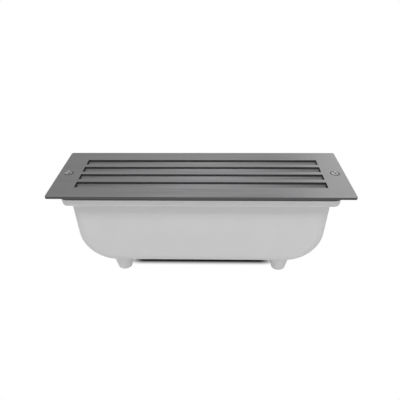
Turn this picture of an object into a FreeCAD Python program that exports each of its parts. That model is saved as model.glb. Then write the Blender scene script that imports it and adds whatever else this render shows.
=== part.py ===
import FreeCAD, Part
import math
import os
import re
import Sketcher

# Recessed step light: a moulded tub for a one-brick opening in a wall, closed by a louvred steel plate.
# Frame: +Z out of the wall (the face looks up), +X along the light, +Y towards the ground once it is mounted.
# The origin is in the plane of the four feet's ends, under the middle of the plate. Millimetres.

doc = FreeCAD.newDocument("step_light")
Vector = FreeCAD.Vector

# ---------------------------------------------------------------- driving dimensions
DIMENSIONS = [
    ("light_depth", 86, "face of the plate to the feet's ends"),
    ("plate_length", 240, "faceplate along X: covers the ends of a one-brick opening"),
    ("plate_width", 80, "faceplate along Y"),
    ("plate_thick", 2, "steel sheet"),
    ("plate_corner", 1.5, "corner radius of the faceplate"),
    ("slot_count", 4, "louvre slots"),
    ("slot_inset", 3.75, "end of the tub's body to the ends of the slots"),
    ("slot_width", 9.2, "each slot along Y"),
    ("bar_width", 4.4, "plate left between two slots"),
    ("slot_corner", 0.6, "radius in the slots' corners"),
    ("blade_thick", 0.8, "louvre blade sheet"),
    ("blade_angle", 13, "fall of a blade, degrees"),
    ("blade_flange", 3, "flat land of a blade, spot-welded under the bar"),
    ("blade_lap", 1.4, "how far a blade reaches past the next bar"),
    ("frame_sheet", 1, "louvre frame sheet"),
    ("frame_corner", 2, "plan radius of the louvre frame's corners"),
    ("frame_foot", 6, "inward flange of the louvre frame that carries the glass"),
    ("frame_margin", 1.5, "slot end to the louvre frame's wall"),
    ("seal_thick", 0.8, "silicone bead between frame and glass"),
    ("glass_thick", 3, "frosted pane"),
    ("glass_end_gap", 1, "pane to the tub's end walls"),
    ("glass_side_gap", 0.7, "pane to the tub's side walls"),
    ("gasket_thick", 3, "seal between plate and lip"),
    ("gasket_gap", 0.6, "louvre frame to gasket"),
    ("lip_step", 5.5, "how far the lip stands out past the tub's ends"),
    ("lip_width", 74, "tub's lip along Y, at its top"),
    ("lip_depth", 6.3, "outside height of the lip"),
    ("lip_corner", 6, "plan radius of the lip's corners"),
    ("lip_draft", 8, "fall-in of the lip's sides, degrees"),
    ("lip_round", 1.8, "radius under the lip"),
    ("tub_inset", 15.25, "end of the plate to the end of the tub's body, which passes into the opening"),
    ("tub_width", 63.4, "tub's body along Y, under the lip"),
    ("tub_draft", 2.6, "draft of the tub's walls, degrees"),
    ("tub_end_round", 31, "big radius between each end wall and the back"),
    ("tub_edge_round", 8, "radius of every other outside edge of the tub"),
    ("wall", 2.5, "moulded wall"),
    ("foot_height", 13, "feet below the back of the tub"),
    ("foot_end_radius", 5.6, "radius of a foot at its end"),
    ("foot_root_radius", 9, "radius of a foot where it leaves the back"),
    ("foot_bevel", 1.5, "bevel of a foot's end"),
    ("foot_inset", 35.95, "tub's end to the feet and the inner posts"),
    ("foot_spacing_y", 35, "feet along Y"),
    ("screw_inset", 8, "end of the plate to the middle of its screw"),
    ("screw_radius", 2, "shank of a faceplate screw"),
    ("screw_head_radius", 4, "countersunk head"),
    ("screw_head_angle", 90, "countersunk head, degrees"),
    ("screw_length", 14, "head included"),
    ("screw_recess", 1.4, "depth of the cross recess"),
    ("screw_gap", 0.06, "running clearance round a faceplate screw"),
    ("ear_radius", 6.5, "half width of an ear"),
    ("ear_depth", 12.5, "ear along Z"),
    ("insert_radius", 2.9, "outside radius of a threaded insert"),
    ("insert_depth", 8, "length of a threaded insert"),
    ("retainer_radius", 3.6, "nylon washer behind the plate"),
    ("retainer_thick", 1, "nylon washer behind the plate"),
    ("gasket_hole_radius", 4.2, "hole in the gasket round a screw and its washer"),
    ("seat_gap", 0.3, "clearance of a piece that only lies near its seat"),
    ("lamp_height", 27.5, "lamp's axis above the tub's floor"),
    ("bulb_radius", 15, "tubular glass of the lamp"),
    ("bulb_wall", 0.8, "lamp's glass"),
    ("bulb_length", 49, "glass past the screw cap"),
    ("bulb_round", 11, "rounding of the glass's closed end"),
    ("bulb_shoulder", 4, "glass widens from its neck over this length"),
    ("cap_radius", 13.2, "screw cap of the lamp"),
    ("cap_length", 25, "screw cap of the lamp"),
    ("cap_sheet", 0.5, "screw cap's sheet"),
    ("tip_length", 3, "insulator and centre contact of the lamp"),
    ("neck_radius", 12.4, "glass where it enters the cap"),
    ("lamp_gap", 0.3, "lamp cap to holder sleeve"),
    ("holder_reach", 49.75, "tub's end to the mouth of the lampholder"),
    ("holder_length", 34, "lampholder along X"),
    ("holder_back_length", 15, "narrow rear part of the lampholder"),
    ("holder_radius", 19.75, "front part of the lampholder"),
    ("holder_back_radius", 17, "rear part of the lampholder"),
    ("holder_flat", 15, "terminal flats on the rear part, from the axis"),
    ("sleeve_thick", 0.4, "threaded sleeve's sheet"),
    ("contact_thick", 0.8, "centre contact strip"),
    ("post_radius", 4, "moulded post for a fixing screw"),
    ("post_height", 8.5, "posts that carry the bracket and the tray"),
    ("post_spacing_y", 41, "posts along Y"),
    ("bracket_sheet", 1.5, "lampholder bracket"),
    ("bracket_width", 50, "bracket's foot along Y"),
    ("bracket_throat", 25, "gap between the bracket's two arms"),
    ("bracket_back_width", 24, "upright of the bracket along Y"),
    ("bracket_back_rise", 13, "upright above the lamp's axis"),
    ("nipple_radius", 5, "threaded nipple that holds the lampholder"),
    ("nipple_nut", 8.5, "half width of the nipple's nut"),
    ("nipple_nut_thick", 3, "nut behind the bracket"),
    ("tray_sheet", 1, "gear tray"),
    ("tray_reach", 52.75, "tub's end to the gear tray's inner end"),
    ("tray_inset", 14.75, "tub's end to the gear tray's outer end"),
    ("tray_width", 49, "gear tray along Y"),
    ("fixing_radius", 1.4, "shank of a small fixing screw"),
    ("fixing_hole", 1.5, "pilot hole of a small fixing screw"),
    ("fixing_head", 2.75, "pan head radius"),
    ("fixing_head_height", 1.9, "pan head height"),
    ("fixing_length", 6, "small fixing screw under its head"),
    ("reflector_sheet", 0.8, "reflector"),
    ("reflector_overlap", 10, "reflector's rim round the lampholder's mouth"),
    ("reflector_room", 22, "reflector's rim to the gear tray"),
    ("reflector_flare", 4, "each end of the reflector leans out by this"),
    ("reflector_base", 42, "reflector's base along Y"),
    ("reflector_mouth", 54, "reflector's rim along Y"),
    ("reflector_gap", 6.7, "reflector's mouth to the pane"),
    ("reflector_rim", 1.2, "outward rim of the reflector"),
    ("reflector_post", 2.5, "posts under the reflector"),
    ("reflector_fixing_a", 16, "reflector's rim to its first screw"),
    ("reflector_fixing_b", 11, "reflector's other rim to its second screw"),
    ("block_inset", 6, "gear tray's inner end to the terminal block"),
    ("block_length", 17, "terminal block along X, one barrel"),
    ("block_base", 9, "base of the terminal block"),
    ("block_height", 17, "terminal block with its chimneys"),
    ("pole_pitch", 8.7, "terminal poles along Y"),
    ("pole_radius", 3.6, "moulding round a barrel"),
    ("barrel_radius", 2.1, "brass barrel"),
    ("barrel_bore", 1.4, "bore of a barrel"),
    ("chimney_width", 5.8, "square tower round a terminal screw"),
    ("clamp_radius", 1.6, "terminal screw"),
    ("clamp_sink", 1, "terminal screw below its chimney's top"),
    ("lead_radius", 1.1, "internal lead with its insulation"),
    ("lead_height", 21, "leads above the tub's floor"),
    ("lead_gap", 0.4, "leads to the reflector's sides"),
    ("lead_end_inset", 21.75, "tub's end to the lampholder's terminals"),
    ("lead_turn_inset", 20.25, "tub's other end to where the leads turn to the walls"),
    ("lead_bend", 5, "bend radius of the leads"),
    ("earth_inset", 6, "gear tray's outer end to the earth screw"),
    ("earth_length", 4, "earth screw under its head, short because the tub's end rises there"),
    ("entry_reach", 8, "gear tray's inner end to the cable entry"),
    ("entry_radius", 4, "bore of the grommet"),
    ("grommet_radius", 9.8, "neck of the grommet"),
    ("grommet_flange", 12.5, "flanges of the grommet"),
    ("grommet_flange_thick", 2, "each flange of the grommet"),
    ("entry_gap", 0.2, "hole in the back round the grommet's neck"),
]

sheet = doc.addObject("Spreadsheet::Sheet", "Sizes")
for row, (alias, value, note) in enumerate(DIMENSIONS, start=1):
    sheet.set(f"A{row}", alias)
    sheet.set(f"B{row}", str(value))
    sheet.set(f"C{row}", note)
    sheet.setAlias(f"B{row}", alias)
doc.recompute()


NAMES = re.compile(r"\b(" + "|".join(row[0] for row in DIMENSIONS) + r")\b")

# ---------------------------------------------------------------- levels and places worked out from them
MIDDLE = "0 * wall"
PLATE_BACK = "(light_depth - plate_thick)"
LIP_TOP = f"({PLATE_BACK} - gasket_thick)"
LIP_FOOT = f"({LIP_TOP} - lip_depth)"
LEDGE = f"({LIP_FOOT} + wall)"
FLOOR = "(foot_height + wall)"
AXIS = f"({FLOOR} + lamp_height)"
POST_TOP = f"({FLOOR} + post_height)"
TRAY_TOP = f"({POST_TOP} + tray_sheet)"
LEAD_LEVEL = f"({FLOOR} + lead_height)"
SLOT_PITCH = "(slot_width + bar_width)"
SLOTS_HALF = "((slot_count * slot_width + (slot_count - 1) * bar_width) / 2)"
FRAME_FOOT = f"({LEDGE} + seat_gap)"
TUB_END = "(plate_length / 2 - tub_inset)"
TUB_LENGTH = f"(2 * {TUB_END})"
LIP_LENGTH = f"(2 * ({TUB_END} + lip_step))"
SLOT_LENGTH = f"(2 * ({TUB_END} - slot_inset))"
FRAME_HALF_X = f"({SLOT_LENGTH} / 2 + frame_margin)"
FRAME_HALF_Y = f"({SLOTS_HALF} + bar_width + blade_lap + seat_gap)"
GLASS_TOP = f"({FRAME_FOOT} - seal_thick)"
GLASS_FOOT = f"({GLASS_TOP} - glass_thick)"
SCREW_X = "(plate_length / 2 - screw_inset)"
FOOT_X = f"({TUB_END} - foot_inset)"
POST_Y = "(post_spacing_y / 2)"
HOLDER_FRONT = f"(holder_reach - {TUB_END})"
HOLDER_BACK = f"({HOLDER_FRONT} - holder_length)"
HOLDER_STEP = f"({HOLDER_BACK} + holder_back_length)"
BRACKET_BACK = f"({HOLDER_BACK} - bracket_sheet)"
TRAY_START = f"({TUB_END} - tray_reach)"
TRAY_END = f"({TUB_END} - tray_inset)"
REFLECTOR_START = f"({HOLDER_FRONT} - reflector_overlap)"
REFLECTOR_END = f"({TRAY_START} - reflector_room)"
REFLECTOR_SCREWS = [
    f"({REFLECTOR_START} + reflector_fixing_a)",
    f"({REFLECTOR_END} - reflector_fixing_b)",
]
REFLECTOR_FOOT = f"({FLOOR} + reflector_post)"
REFLECTOR_MOUTH = f"({GLASS_FOOT} - reflector_gap)"
LEAD_SHARE = f"(({LEAD_LEVEL} - {REFLECTOR_FOOT}) / ({REFLECTOR_MOUTH} - {REFLECTOR_FOOT}))"
REFLECTOR_SIDE = f"(reflector_base + (reflector_mouth - reflector_base) * {LEAD_SHARE}) / 2"
LEAD_SIDE = f"({REFLECTOR_SIDE} + lead_gap + lead_radius)"
BLOCK_START = f"({TRAY_START} + block_inset)"
BLOCK_END = f"({BLOCK_START} + block_length)"
BLOCK_MIDDLE = f"({BLOCK_START} + block_length / 2)"
EARTH_X = f"({TRAY_END} - earth_inset)"
ENTRY_X = f"({TRAY_START} - entry_reach)"
BLOCK_TOP = f"({TRAY_TOP} + block_height)"


def bound(text):
    """Expression text that reads the named dimensions from the sheet."""
    return NAMES.sub(r"Sizes.\1", text)


def bind(thing, **properties):
    """Tie properties of an object to expressions in the named dimensions."""
    for name, text in properties.items():
        thing.setExpression(name.replace("__", "."), bound(text))
    return thing


def size(text):
    """Present value of an expression in the named dimensions."""
    probe = sheet.evalExpression(bound(text).replace("Sizes.", ""))
    return float(getattr(probe, "Value", probe))


def recompute(thing):
    """Bring one object up to date and return its shape."""
    doc.recompute()
    return thing.Shape


# ---------------------------------------------------------------- ways to make a piece
def block(name, x, y, z):
    """Box between two places on each axis, each given as an expression."""
    box = doc.addObject("Part::Box", name)
    bind(box, Length=f"{x[1]} - ({x[0]})", Width=f"{y[1]} - ({y[0]})", Height=f"{z[1]} - ({z[0]})")
    return bind(box, Placement__Base__x=x[0], Placement__Base__y=y[0], Placement__Base__z=z[0])


TURN = {
    "X": FreeCAD.Rotation(Vector(0, 1, 0), 90),
    "Y": FreeCAD.Rotation(Vector(1, 0, 0), -90),
    "Z": FreeCAD.Rotation(),
}


def rod(name, axis, radius, start, end, centre, end_radius=None):
    """Cylinder, or cone where the end radius differs, along an axis from start to end through a centre."""
    solid = doc.addObject("Part::Cone" if end_radius else "Part::Cylinder", name)
    if end_radius:
        bind(solid, Radius1=radius, Radius2=end_radius, Height=f"{end} - ({start})")
    else:
        bind(solid, Radius=radius, Height=f"{end} - ({start})")
    solid.Placement = FreeCAD.Placement(Vector(), TURN[axis])
    x, y, z = {"X": (start, *centre), "Y": (centre[0], start, centre[1]), "Z": (*centre, start)}[axis]
    return bind(solid, Placement__Base__x=x, Placement__Base__y=y, Placement__Base__z=z)


def fused(name, solids):
    """Several solids made one."""
    union = doc.addObject("Part::MultiFuse", name)
    union.Shapes = solids
    union.Refine = True
    return union


def group(name, solids):
    """Several like solids that stay separate in one node."""
    compound = doc.addObject("Part::Compound", name)
    compound.Links = solids
    return compound


def cut(name, solid, *tools):
    """A solid with other solids taken away."""
    result = doc.addObject("Part::Cut", name)
    result.Base = solid
    result.Tool = tools[0] if len(tools) == 1 else fused(name + "_cuts", list(tools))
    result.Refine = True
    return result


def eased(kind, solid, amount, wanted):
    """Fillet or chamfer on the round edge whose one vertex the test picks out."""
    shape = recompute(solid)
    result = doc.addObject(kind, solid.Name + "_eased")
    result.Base = solid
    result.Edges = [(i, size(amount), size(amount)) for i, edge in enumerate(shape.Edges, start=1)
                    if len(edge.Vertexes) == 1 and wanted(edge.Vertexes[0].Point)]
    return result


def both_sides(make, *numbers):
    """The same piece at the four places (+-x, +-y), or at two where only one number is given."""
    places = [(sx, sy) for sx in "-+" for sy in ("-+" if len(numbers) == 2 else " ")]
    return [make(i, f"{sx}{numbers[0]}", f"{sy}{numbers[1]}" if len(numbers) == 2 else MIDDLE)
            for i, (sx, sy) in enumerate(places)]


def plane(body, role):
    """One of a body's own origin planes."""
    return next(feature for feature in body.Origin.OriginFeatures if feature.Role == role)


def rectangle(body, name, level, length, width, corner=None):
    """Sketch of a centred rectangle in a level plane, with rounded corners if a radius is given."""
    sketch = body.newObject("Sketcher::SketchObject", name)
    sketch.AttachmentSupport = [(plane(body, "XY_Plane"), "")]
    sketch.MapMode = "FlatFace"
    across = size(length) / 2
    along = size(width) / 2
    radius = size(corner) if corner else 0
    corners = [(-across, -along), (across, -along), (across, along), (-across, along)]
    inset = [(radius, 0), (0, radius), (-radius, 0), (0, -radius)]
    sides = 2 if corner else 1
    for i, (x, y) in enumerate(corners):
        (next_x, next_y), (dx, dy) = corners[(i + 1) % 4], inset[i]
        start = Vector(x + dx, y + dy, 0)
        end = Vector(next_x - dx, next_y - dy, 0)
        sketch.addGeometry(Part.LineSegment(start, end), False)
        if corner:
            centre = end + Vector(*inset[(i + 1) % 4], 0)
            turn = math.pi / 2 * (i - 1)
            circle = Part.Circle(centre, Vector(0, 0, 1), radius)
            sketch.addGeometry(Part.ArcOfCircle(circle, turn, turn + math.pi / 2), False)
    count = 4 * sides
    joint = "Tangent" if corner else "Coincident"
    for i in range(count):
        sketch.addConstraint(Sketcher.Constraint(joint, i, 2, (i + 1) % count, 1))
    for i in range(4):
        sketch.addConstraint(Sketcher.Constraint("Vertical" if i % 2 else "Horizontal", i * sides))
    last = (2 * sides, 1)
    sketch.addConstraint(Sketcher.Constraint("Symmetric", 0, 1, *last, -1, 1))
    named = {"across": Sketcher.Constraint("DistanceX", 3 * sides, 1, sides, 1, 2 * across),
             "along": Sketcher.Constraint("DistanceY", 0, 1, 2 * sides, 1, 2 * along)}
    if corner:
        named["corner"] = Sketcher.Constraint("Radius", 1, radius)
        for i in (3, 5, 7):
            sketch.addConstraint(Sketcher.Constraint("Equal", 1, i))
    for label, constraint in named.items():
        sketch.renameConstraint(sketch.addConstraint(constraint), label)
    bind(sketch, Constraints__across=length, Constraints__along=width, AttachmentOffset__Base__z=level)
    return bind(sketch, Constraints__corner=corner) if corner else sketch


def rounded(body, name, base, radius, wanted):
    """Fillet on the edges of a feature that the test picks out, given its lowest and highest levels."""
    shape = recompute(base)
    levels = [vertex.Z for vertex in shape.Vertexes]
    picked = [f"Edge{i}" for i, edge in enumerate(shape.Edges, start=1)
              if wanted(edge, min(levels), max(levels))]
    fillet = body.newObject("PartDesign::Fillet", name)
    fillet.Base = (base, picked)
    return bind(fillet, Radius=radius)


def ends_at(edge):
    """Levels of an edge's ends."""
    return [vertex.Z for vertex in edge.Vertexes]


def at_bottom(edge, low, high):
    """Edge in the lower face."""
    return max(ends_at(edge)) < low + 0.001


def slab(name, top, bottom, length, width, corner=None, draft=None, under=None):
    """Drafted plate or frustum with rounded corners, and a rounded lower edge if one is asked for."""
    body = doc.addObject("PartDesign::Body", name)
    pad = body.newObject("PartDesign::Pad", name + "_pad")
    pad.Profile = rectangle(body, name + "_outline", top, length, width, corner)
    pad.Reversed = True
    bind(pad, Length=f"{top} - ({bottom})")
    if draft:
        pad.setExpression("TaperAngle", bound(f"-{draft}"))
    body.Tip = rounded(body, name + "_under", pad, under, at_bottom) if under else pad
    return body


def tub_form(name, top, bottom, length, width, end_round, edge_round):
    """Bath shape: drafted walls, a big radius between end walls and back, all other edges rounded alike."""
    body = doc.addObject("PartDesign::Body", name)
    sketch = rectangle(body, name + "_mouth", top, length, width)
    pad = body.newObject("PartDesign::Pad", name + "_pad")
    pad.Profile = sketch
    pad.Reversed = True
    bind(pad, Length=f"{top} - ({bottom})")
    pad.setExpression("TaperAngle", bound("-tub_draft"))
    ends = rounded(body, name + "_ends", pad, end_round,
                   lambda edge, low, high: at_bottom(edge, low, high) and abs(edge.tangentAt(0).y) > 0.9)
    body.Tip = rounded(body, name + "_edges", ends, edge_round,
                       lambda edge, low, high: min(ends_at(edge)) < high - 0.001
                       and abs(edge.Vertexes[0].Y - edge.Vertexes[-1].Y) < size(width) / 2)
    return body


# ---------------------------------------------------------------- housing
def make_housing():
    """Moulded tub: stepped lip, bath-shaped body, four feet, two screw ears, posts inside."""
    outside = tub_form("tub_outside", LIP_FOOT, "foot_height", TUB_LENGTH, "tub_width",
                       "tub_end_round", "tub_edge_round")
    lip = slab("lip_outside", LIP_TOP, LIP_FOOT, LIP_LENGTH, "lip_width",
               "lip_corner", "lip_draft", "lip_round")

    # Feet stand under the back and run up into the wall's lower edge.
    rise = "(foot_height + tub_edge_round / 2)"
    widened = f"foot_end_radius + (foot_root_radius - foot_end_radius) / foot_height * {rise}"
    feet = both_sides(lambda i, x, y: rod(f"foot_{i}", "Z", "foot_end_radius", MIDDLE, rise, (x, y), widened),
                      FOOT_X, "foot_spacing_y / 2")
    bevelled_feet = [eased("Part::Chamfer", foot, "foot_bevel", lambda point: point.z < 0.001)
                     for foot in feet]

    # Ears for the two faceplate screws stand out from the lip's ends, hidden behind the plate.
    ears = []
    for side, sign in (("left", "-"), ("right", "")):
        low = f"({LIP_TOP} - ear_depth)"
        end = rod(f"ear_{side}_end", "Z", "ear_radius", low, LIP_TOP, (f"{sign}{SCREW_X}", MIDDLE))
        inner = f"{sign}({TUB_END} - wall / 2)"
        xs = (f"-{SCREW_X}", inner) if sign else (inner, SCREW_X)
        ears.append(fused(f"ear_{side}", [end, block(f"ear_{side}_root", xs, ("-ear_radius", "ear_radius"),
                                                     (low, LIP_TOP))]))
    shell = fused("tub_solid", [outside, lip, *bevelled_feet, *ears])

    # The hollow follows the outside one wall in, so the step outside leaves a ledge inside.
    hollow = tub_form("tub_inside", LEDGE, FLOOR, f"{TUB_LENGTH} - 2 * wall", "tub_width - 2 * wall",
                      "tub_end_round - wall", "tub_edge_round - wall")
    mouth = slab("lip_inside", LIP_TOP, LEDGE, f"{LIP_LENGTH} - 2 * wall", "lip_width - 2 * wall",
                 "lip_corner - wall", "lip_draft")
    hollowed = cut("tub_hollowed", shell, hollow, mouth)

    # Posts: two pairs carry the lampholder bracket and the gear tray, two low ones carry the reflector.
    root = "(foot_height + wall / 2)"
    posts = both_sides(lambda i, x, y: rod(f"post_{i}", "Z", "post_radius", root, POST_TOP, (x, y)),
                       FOOT_X, POST_Y)
    pilots = both_sides(lambda i, x, y: rod(f"post_pilot_{i}", "Z", "fixing_hole",
                                            f"{POST_TOP} - fixing_length - wall / 2", POST_TOP, (x, y)),
                        FOOT_X, POST_Y)
    for i, x in enumerate(REFLECTOR_SCREWS):
        posts.append(rod(f"reflector_post_{i}", "Z", "post_radius", root, REFLECTOR_FOOT, (x, MIDDLE)))
        pilots.append(rod(f"reflector_pilot_{i}", "Z", "fixing_hole", root, REFLECTOR_FOOT, (x, MIDDLE)))
    inserts = both_sides(lambda i, x, y: rod(f"insert_hole_{i}", "Z", "insert_radius",
                                             f"{LIP_TOP} - insert_depth", LIP_TOP, (x, y)), SCREW_X)
    relief = "light_depth - screw_length - seat_gap"
    deeper = both_sides(lambda i, x, y: rod(f"screw_relief_{i}", "Z", "screw_radius + screw_gap", relief,
                                            LIP_TOP, (x, y)), SCREW_X)
    entry = rod("entry_hole", "Z", "grommet_radius + entry_gap", "foot_height - wall", f"{FLOOR} + wall",
                (ENTRY_X, MIDDLE))
    with_posts = fused("tub_with_posts", [hollowed, *posts])
    return cut("housing", with_posts, *pilots, *inserts, *deeper, entry)


def make_screw_inserts():
    """Brass inserts pressed into the ears."""
    def insert(i, x, y):
        low = f"({LIP_TOP} - insert_depth)"
        body = rod(f"insert_body_{i}", "Z", "insert_radius", low, LIP_TOP, (x, y))
        bore = rod(f"insert_bore_{i}", "Z", "screw_radius + screw_gap", low, LIP_TOP, (x, y))
        return cut(f"insert_{i}", body, bore)
    return group("screw_inserts", both_sides(insert, SCREW_X))


def make_gasket():
    """Flat seal on the lip and the ears, with an eyelet round each screw."""
    ring = slab("gasket_ring", PLATE_BACK, LIP_TOP, LIP_LENGTH, "lip_width", "lip_corner")
    tongues = []
    for side, sign in (("left", "-"), ("right", "")):
        end = rod(f"eyelet_{side}", "Z", "ear_radius", LIP_TOP, PLATE_BACK, (f"{sign}{SCREW_X}", MIDDLE))
        inner = f"{sign}({LIP_LENGTH} / 2 - wall)"
        xs = (f"-{SCREW_X}", inner) if sign else (inner, SCREW_X)
        tongues += [end, block(f"tongue_{side}", xs, ("-ear_radius", "ear_radius"), (LIP_TOP, PLATE_BACK))]
    window = slab("gasket_window", PLATE_BACK, LIP_TOP, f"2 * ({FRAME_HALF_X} + frame_sheet + gasket_gap)",
                  f"2 * ({FRAME_HALF_Y} + frame_sheet + gasket_gap)", "frame_corner + gasket_gap")
    holes = both_sides(lambda i, x, y: rod(f"eyelet_hole_{i}", "Z", "gasket_hole_radius", LIP_TOP, PLATE_BACK,
                                           (x, y)), SCREW_X)
    return cut("rim_gasket", fused("gasket_blank", [ring, *tongues]), window, *holes)


# ---------------------------------------------------------------- louvred face
def make_faceplate():
    """Steel plate with a row of slots and two countersunk holes."""
    body = doc.addObject("PartDesign::Body", "faceplate")
    pad = body.newObject("PartDesign::Pad", "plate_pad")
    pad.Profile = rectangle(body, "plate_outline", "light_depth", "plate_length", "plate_width",
                            "plate_corner")
    pad.Reversed = True
    bind(pad, Length="plate_thick")

    slot = rectangle(body, "slot_outline", "light_depth", SLOT_LENGTH, "slot_width", "slot_corner")
    bind(slot, AttachmentOffset__Base__y=f"-{SLOTS_HALF} + slot_width / 2")
    pocket = body.newObject("PartDesign::Pocket", "first_slot")
    pocket.Profile = slot
    pocket.Type = "ThroughAll"
    row = body.newObject("PartDesign::LinearPattern", "slot_row")
    row.Originals = [pocket]
    row.Direction = (slot, ["V_Axis"])
    bind(row, Length=f"{SLOT_PITCH} * (slot_count - 1)", Occurrences="slot_count")
    body.Tip = row

    marks = body.newObject("Sketcher::SketchObject", "screw_marks")
    marks.AttachmentSupport = [(plane(body, "XY_Plane"), "")]
    marks.MapMode = "FlatFace"
    bind(marks, AttachmentOffset__Base__z="light_depth")
    reach = size(SCREW_X)
    radius = size("screw_radius + screw_gap")
    for index, x in enumerate((-reach, reach)):
        marks.addGeometry(Part.Circle(Vector(x, 0, 0), Vector(0, 0, 1), radius), False)
        named = marks.addConstraint(Sketcher.Constraint("Radius", index, radius))
        marks.renameConstraint(named, f"radius_{index}")
        bind(marks, **{f"Constraints__radius_{index}": "screw_radius + screw_gap"})
    marks.addConstraint(Sketcher.Constraint("PointOnObject", 0, 3, -1))
    marks.addConstraint(Sketcher.Constraint("Symmetric", 0, 3, 1, 3, -1, 1))
    named = marks.addConstraint(Sketcher.Constraint("DistanceX", 0, 3, 1, 3, 2 * reach))
    marks.renameConstraint(named, "spacing")
    bind(marks, Constraints__spacing=f"2 * {SCREW_X}")
    recompute(marks)
    holes = body.newObject("PartDesign::Hole", "screw_holes")
    holes.Profile = marks
    recompute(holes)
    holes.DepthType = "ThroughAll"
    holes.HoleCutType = "Countersink"
    holes.HoleCutCustomValues = True
    bind(holes, Diameter="2 * (screw_radius + screw_gap)",
         HoleCutDiameter="2 * (screw_head_radius + screw_gap)", HoleCutCountersinkAngle="screw_head_angle")
    body.Tip = holes
    return body


def make_blade(index):
    """One louvre blade: a flat land under a bar, then a strip that falls away under the slot beside it."""
    name = f"louvre_blade_{index + 1}"
    body = doc.addObject("PartDesign::Body", name)
    sketch = body.newObject("Sketcher::SketchObject", name + "_section")
    sketch.AttachmentSupport = [(plane(body, "YZ_Plane"), "")]
    sketch.MapMode = "FlatFace"
    start = f"(-{SLOTS_HALF} + {index} * {SLOT_PITCH} + slot_width)"
    bind(sketch, AttachmentOffset__Base__x=start, AttachmentOffset__Base__y=PLATE_BACK)
    run = f"({SLOT_PITCH} + blade_lap)"
    fall = f"{run} * tan(blade_angle * 1deg)"
    thickness = "blade_thick / cos(blade_angle * 1deg)"
    section = [("blade_flange", MIDDLE), (MIDDLE, MIDDLE), (f"-{run}", f"-{fall}"),
               (f"-{run}", f"-({fall} + {thickness})"), (MIDDLE, "-blade_thick"),
               ("blade_flange", "-blade_thick")]
    corners = [Vector(size(across), size(up), 0) for across, up in section]
    for i, corner in enumerate(corners):
        sketch.addGeometry(Part.LineSegment(corner, corners[(i + 1) % len(corners)]), False)
    for i in range(len(corners)):
        sketch.addConstraint(Sketcher.Constraint("Coincident", i, 2, (i + 1) % len(corners), 1))
    for i, (across, up) in enumerate(section):
        for kind, label, text in (("DistanceX", f"y{i}", across), ("DistanceY", f"z{i}", up)):
            named = sketch.addConstraint(Sketcher.Constraint(kind, -1, 1, i, 1, size(text)))
            sketch.renameConstraint(named, label)
            sketch.setExpression(f"Constraints.{label}", bound(text))
    pad = body.newObject("PartDesign::Pad", name + "_strip")
    pad.Profile = sketch
    pad.Midplane = True
    bind(pad, Length=f"2 * {FRAME_HALF_X}")
    body.Tip = pad
    return body


def make_louvre_frame():
    """Folded frame behind the plate: its walls carry the blades' ends, its flange carries the glass."""
    outer = slab("frame_outer", PLATE_BACK, FRAME_FOOT, f"2 * ({FRAME_HALF_X} + frame_sheet)",
                 f"2 * ({FRAME_HALF_Y} + frame_sheet)", "frame_corner")
    inner = slab("frame_inner", PLATE_BACK, f"{FRAME_FOOT} + frame_sheet", f"2 * {FRAME_HALF_X}",
                 f"2 * {FRAME_HALF_Y}")
    window = slab("frame_window", PLATE_BACK, FRAME_FOOT, f"2 * ({FRAME_HALF_X} + frame_sheet - frame_foot)",
                  f"2 * ({FRAME_HALF_Y} + frame_sheet - frame_foot)")
    return cut("louvre_frame", outer, inner, window)


GLASS_LENGTH = f"({TUB_LENGTH} - 2 * (wall + glass_end_gap))"
GLASS_WIDTH = "(tub_width - 2 * (wall + glass_side_gap))"
GLASS_CORNER = "(tub_edge_round - wall / 2)"


def make_diffuser_seal():
    """Bead of silicone between the frame's flange and the glass."""
    outer = slab("seal_outer", FRAME_FOOT, GLASS_TOP, GLASS_LENGTH, GLASS_WIDTH, GLASS_CORNER)
    inner = slab("seal_inner", FRAME_FOOT, GLASS_TOP, f"2 * ({FRAME_HALF_X} + frame_sheet - frame_foot)",
                 f"2 * ({FRAME_HALF_Y} + frame_sheet - frame_foot)")
    return cut("diffuser_seal", outer, inner)


def make_diffuser_glass():
    """Frosted pane, bonded behind the louvre frame."""
    return slab("diffuser_glass", GLASS_TOP, GLASS_FOOT, GLASS_LENGTH, GLASS_WIDTH, GLASS_CORNER)


def make_faceplate_screw(side, sign):
    """Countersunk screw with a cross recess."""
    centre = (f"{sign}{SCREW_X}", MIDDLE)
    head_foot = "(light_depth - (screw_head_radius - screw_radius) / tan(screw_head_angle / 2 * 1deg))"
    head = rod(f"head_{side}", "Z", "screw_radius", head_foot, "light_depth", centre, "screw_head_radius")
    shank = rod(f"shank_{side}", "Z", "screw_radius", "light_depth - screw_length", head_foot, centre)
    arm = "screw_head_radius * 0.55"
    thin = "screw_head_radius / 8"
    low = "light_depth - screw_recess"
    cross = [block(f"slot_x_{side}", (f"{centre[0]} - {arm}", f"{centre[0]} + {arm}"), (f"-{thin}", thin),
                   (low, "light_depth")),
             block(f"slot_y_{side}", (f"{centre[0]} - {thin}", f"{centre[0]} + {thin}"), (f"-{arm}", arm),
                   (low, "light_depth"))]
    return cut(f"faceplate_screw_{side}", fused(f"screw_blank_{side}", [head, shank]), *cross)


def make_screw_retainers():
    """Nylon washers that keep the undone screws in the plate."""
    def washer(i, x, y):
        low = f"({PLATE_BACK} - retainer_thick)"
        disc = rod(f"retainer_disc_{i}", "Z", "retainer_radius", low, PLATE_BACK, (x, y))
        bore = rod(f"retainer_bore_{i}", "Z", "screw_radius + screw_gap", low, PLATE_BACK, (x, y))
        return cut(f"retainer_{i}", disc, bore)
    return group("screw_retainers", both_sides(washer, SCREW_X))


# ---------------------------------------------------------------- lamp and lampholder
LAMP_LINE = (MIDDLE, AXIS)
CONTACT_FACE = f"({HOLDER_STEP} - holder_back_length / 2)"


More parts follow.
